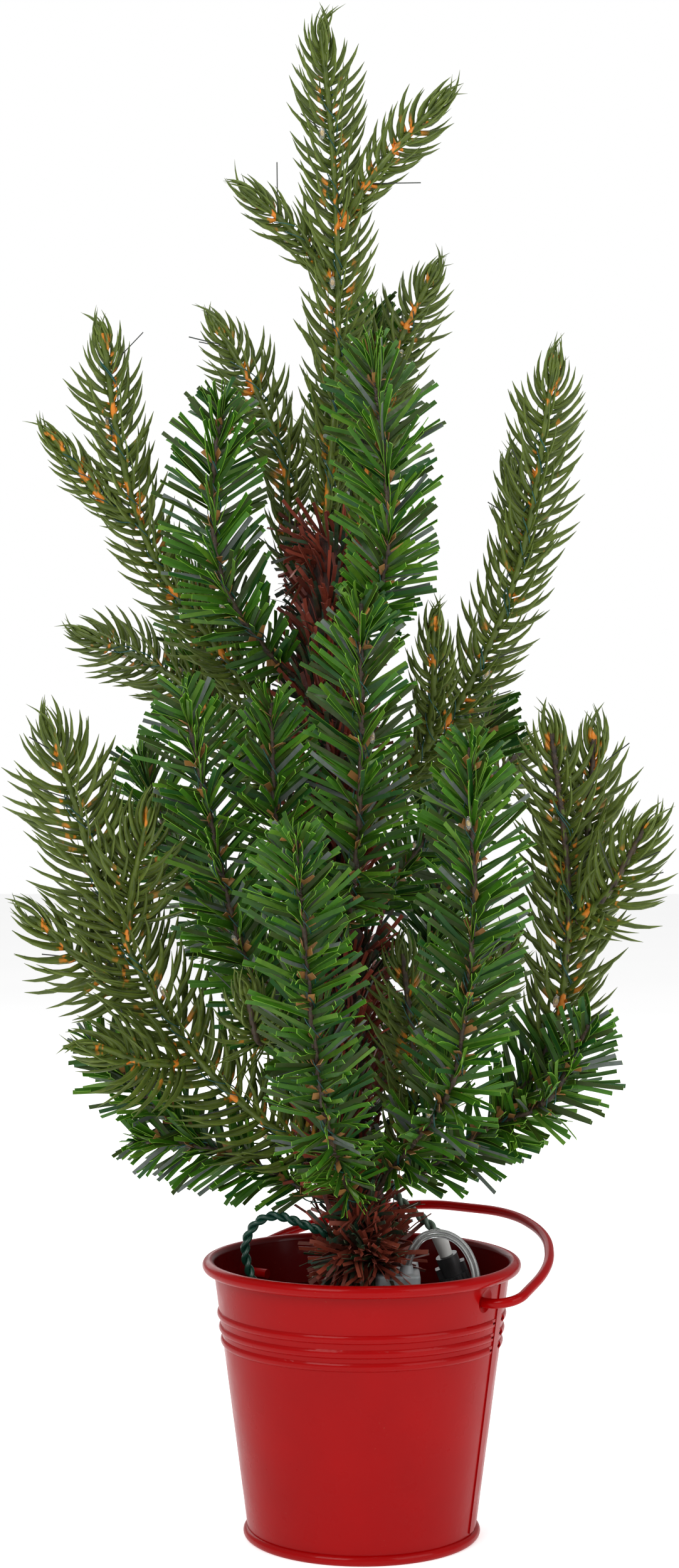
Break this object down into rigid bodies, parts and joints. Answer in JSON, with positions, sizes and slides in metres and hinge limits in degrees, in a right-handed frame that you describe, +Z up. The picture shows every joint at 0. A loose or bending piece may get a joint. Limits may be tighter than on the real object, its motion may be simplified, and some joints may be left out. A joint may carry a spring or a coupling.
{
  "type": "artificial tabletop tree",
  "caption": "Artificial tabletop conifer with moulded and cut-strip branches, standing in a red metal pail with a wire bail and a stored battery box.",
  "frame": {"origin": "centre of the pail's base ring, on the surface it stands on", "axes": "+Z up along the pail's axis, +X to the viewer's right, +Y away from the viewer"},
  "size_m": [0.2393, 0.2081, 0.5895],
  "materials": {
    "pail_enamel": "glossy red enamel on sheet steel, darker inside",
    "cast_weight": "rough cast plaster",
    "pole_paint": "satin dark green",
    "trunk_tinsel": "cut strip tinsel, brown mixed with dark green",
    "box_plastic": "smooth light grey",
    "screw_steel": "plain",
    "cell_jacket": "plain dark jacket",
    "switch_plastic": "fine grain",
    "connector_rubber": "semi-gloss black",
    "sleeve_plastic": "smooth white",
    "clear_insulation": "clear over tinned cores",
    "green_insulation": "dark green",
    "branch_wire": "twisted dark green wire",
    "sprig_needles": "moulded, semi-gloss olive green with brown flecks",
    "twig_needles": "cut film strips in mixed greens"
  },
  "bodies": {
    "pail_and_trunk": {"pail_wall": "pail_enamel", "pail_floor": "pail_enamel", "weight_block": "cast_weight", "trunk_pole": "pole_paint", "trunk_wrap": "trunk_tinsel", "battery_case": "box_plastic", "battery_cover": "box_plastic", "cover_screw": "screw_steel", "battery_cells": "cell_jacket", "clear_lead": "clear_insulation", "right_pair": "green_insulation", "left_pair": "green_insulation", "lead_sleeve": "sleeve_plastic", "connector_socket": "connector_rubber", "connector_plug": "connector_rubber"},
    "bail": {"bail_handle": "pail_enamel"},
    "coupling_nut": {"coupling_nut": "connector_rubber"},
    "switch_slider": {"switch_slider": "switch_plastic"},
    "leader": {"leader_stem": "branch_wire", "leader_needles": "sprig_needles"},
    "top_right_branch": {"top_right_stem": "branch_wire", "top_right_needles": "sprig_needles"},
    "top_left_branch": {"top_left_stem": "branch_wire", "top_left_needles": "sprig_needles"},
    "top_front_branch": {"top_front_stem": "branch_wire", "top_front_needles": "twig_needles"},
    "top_back_branch": {"top_back_stem": "branch_wire", "top_back_needles": "twig_needles"},
    "upper_left_branch": {"upper_left_stem": "branch_wire", "upper_left_needles": "twig_needles"},
    "mid_left_branch": {"mid_left_stem": "branch_wire", "mid_left_needles": "sprig_needles"},
    "mid_left_back_branch": {"mid_left_back_stem": "branch_wire", "mid_left_back_needles": "twig_needles"},
    "mid_right_branch": {"mid_right_stem": "branch_wire", "mid_right_needles": "sprig_needles"},
    "mid_right_back_branch": {"mid_right_back_stem": "branch_wire", "mid_right_back_needles": "twig_needles"},
    "mid_front_branch": {"mid_front_stem": "branch_wire", "mid_front_needles": "twig_needles"},
    "mid_front_left_branch": {"mid_front_left_stem": "branch_wire", "mid_front_left_needles": "twig_needles"},
    "low_front_left_branch": {"low_front_left_stem": "branch_wire", "low_front_left_needles": "twig_needles"},
    "low_left_branch": {"low_left_stem": "branch_wire", "low_left_needles": "sprig_needles"},
    "low_left_under_branch": {"low_left_under_stem": "branch_wire", "low_left_under_needles": "twig_needles"},
    "low_front_branch": {"low_front_stem": "branch_wire", "low_front_needles": "twig_needles"},
    "low_front_right_branch": {"low_front_right_stem": "branch_wire", "low_front_right_needles": "twig_needles"},
    "low_right_branch": {"low_right_stem": "branch_wire", "low_right_needles": "sprig_needles"},
    "back_left_branch": {"back_left_stem": "branch_wire", "back_left_needles": "twig_needles"},
    "back_low_branch": {"back_low_stem": "branch_wire", "back_low_needles": "sprig_needles"},
    "back_right_branch": {"back_right_stem": "branch_wire", "back_right_needles": "twig_needles"}
  },
  "joints": [
    {"name": "bail_hinge", "type": "hinge", "parent": "pail_and_trunk", "child": "bail", "pos_m": [0, 0, 0.0965], "axis": [0.8192, -0.5736, 0], "range_deg": [-62, 10]},
    {"name": "nut_turn", "type": "hinge", "parent": "pail_and_trunk", "child": "coupling_nut", "pos_m": [0.0302, 0.008, 0.116], "axis": [0.3487, 0.1162, -0.93], "range_deg": [0, 360]},
    {"name": "switch_slide", "type": "slide", "parent": "pail_and_trunk", "child": "switch_slider", "axis": [0, 1, 0], "range_m": [0, 0.0032]},
    {"name": "leader_bend", "type": "hinge", "parent": "pail_and_trunk", "child": "leader", "pos_m": [-0.015, 0, 0.3854], "axis": [0, 1, 0], "range_deg": [-3, 3]},
    {"name": "top_right_bend", "type": "hinge", "parent": "pail_and_trunk", "child": "top_right_branch", "pos_m": [-0.00588, 0.00582, 0.37], "axis": [0.5592, -0.829, 0], "range_deg": [-14, 5]},
    {"name": "top_left_bend", "type": "hinge", "parent": "pail_and_trunk", "child": "top_left_branch", "pos_m": [-0.024, 0.0039, 0.366], "axis": [0.3746, 0.9272, 0], "range_deg": [-16, 1]},
    {"name": "top_front_bend", "type": "hinge", "parent": "pail_and_trunk", "child": "top_front_branch", "pos_m": [-0.00799, -0.00882, 0.342], "axis": [-0.848, -0.5299, 0], "range_deg": [-16, 5]},
    {"name": "top_back_bend", "type": "hinge", "parent": "pail_and_trunk", "child": "top_back_branch", "pos_m": [-0.0103, 0.00977, 0.352], "axis": [0.9397, -0.342, 0], "range_deg": [-16, 3]},
    {"name": "upper_left_bend", "type": "hinge", "parent": "pail_and_trunk", "child": "upper_left_branch", "pos_m": [-0.02249, -0.00456, 0.332], "axis": [-0.4384, 0.8988, 0], "range_deg": [-16, 5]},
    {"name": "mid_left_bend", "type": "hinge", "parent": "pail_and_trunk", "child": "mid_left_branch", "pos_m": [-0.0219, -0.00072, 0.292], "axis": [-0.0698, 0.9976, 0], "range_deg": [-16, 5]},
    {"name": "mid_left_back_bend", "type": "hinge", "parent": "pail_and_trunk", "child": "mid_left_back_branch", "pos_m": [-0.01927, 0.00423, 0.262], "axis": [0.4067, 0.9135, 0], "range_deg": [-11, 5]},
    {"name": "mid_right_bend", "type": "hinge", "parent": "pail_and_trunk", "child": "mid_right_branch", "pos_m": [0.00018, -0.00145, 0.268], "axis": [-0.1392, -0.9903, 0], "range_deg": [-12, 5]},
    {"name": "mid_right_back_bend", "type": "hinge", "parent": "pail_and_trunk", "child": "mid_right_back_branch", "pos_m": [0.00095, 0.00488, 0.236], "axis": [0.4695, -0.8829, 0], "range_deg": [-16, 5]},
    {"name": "mid_front_bend", "type": "hinge", "parent": "pail_and_trunk", "child": "mid_front_branch", "pos_m": [-0.00764, -0.01039, 0.232], "axis": [-0.9994, -0.0349, 0], "range_deg": [-16, 2]},
    {"name": "mid_front_left_bend", "type": "hinge", "parent": "pail_and_trunk", "child": "mid_front_left_branch", "pos_m": [-0.01346, -0.00862, 0.226], "axis": [-0.829, 0.5592, 0], "range_deg": [-16, 5]},
    {"name": "low_front_left_bend", "type": "hinge", "parent": "pail_and_trunk", "child": "low_front_left_branch", "pos_m": [-0.01162, -0.00611, 0.17], "axis": [-0.5878, 0.809, 0], "range_deg": [-16, 5]},
    {"name": "low_left_bend", "type": "hinge", "parent": "pail_and_trunk", "child": "low_left_branch", "pos_m": [-0.01118, -0.00287, 0.146], "axis": [-0.2756, 0.9613, 0], "range_deg": [-16, 5]},
    {"name": "low_left_under_bend", "type": "hinge", "parent": "pail_and_trunk", "child": "low_left_under_branch", "pos_m": [-0.0104, 0, 0.128], "axis": [0, 1, 0], "range_deg": [-16, 3]},
    {"name": "low_front_bend", "type": "hinge", "parent": "pail_and_trunk", "child": "low_front_branch", "pos_m": [-0.00252, -0.01009, 0.13], "axis": [-0.9703, 0.2419, 0], "range_deg": [-16, 5]},
    {"name": "low_front_right_bend", "type": "hinge", "parent": "pail_and_trunk", "child": "low_front_right_branch", "pos_m": [0.00607, -0.00819, 0.136], "axis": [-0.788, -0.6157, 0], "range_deg": [-16, 3]},
    {"name": "low_right_bend", "type": "hinge", "parent": "pail_and_trunk", "child": "low_right_branch", "pos_m": [0.01, -0.00216, 0.134], "axis": [-0.2079, -0.9781, 0], "range_deg": [-16, 3]},
    {"name": "back_left_bend", "type": "hinge", "parent": "pail_and_trunk", "child": "back_left_branch", "pos_m": [-0.0139, 0.0052, 0.19], "axis": [0.5, 0.866, 0], "range_deg": [-16, 3]},
    {"name": "back_low_bend", "type": "hinge", "parent": "pail_and_trunk", "child": "back_low_branch", "pos_m": [-0.00302, 0.01009, 0.138], "axis": [0.9703, 0.2419, 0], "range_deg": [-16, 5]},
    {"name": "back_right_bend", "type": "hinge", "parent": "pail_and_trunk", "child": "back_right_branch", "pos_m": [0.00252, 0.00918, 0.16], "axis": [0.8829, -0.4695, 0], "range_deg": [-16, 5]}
  ]
}
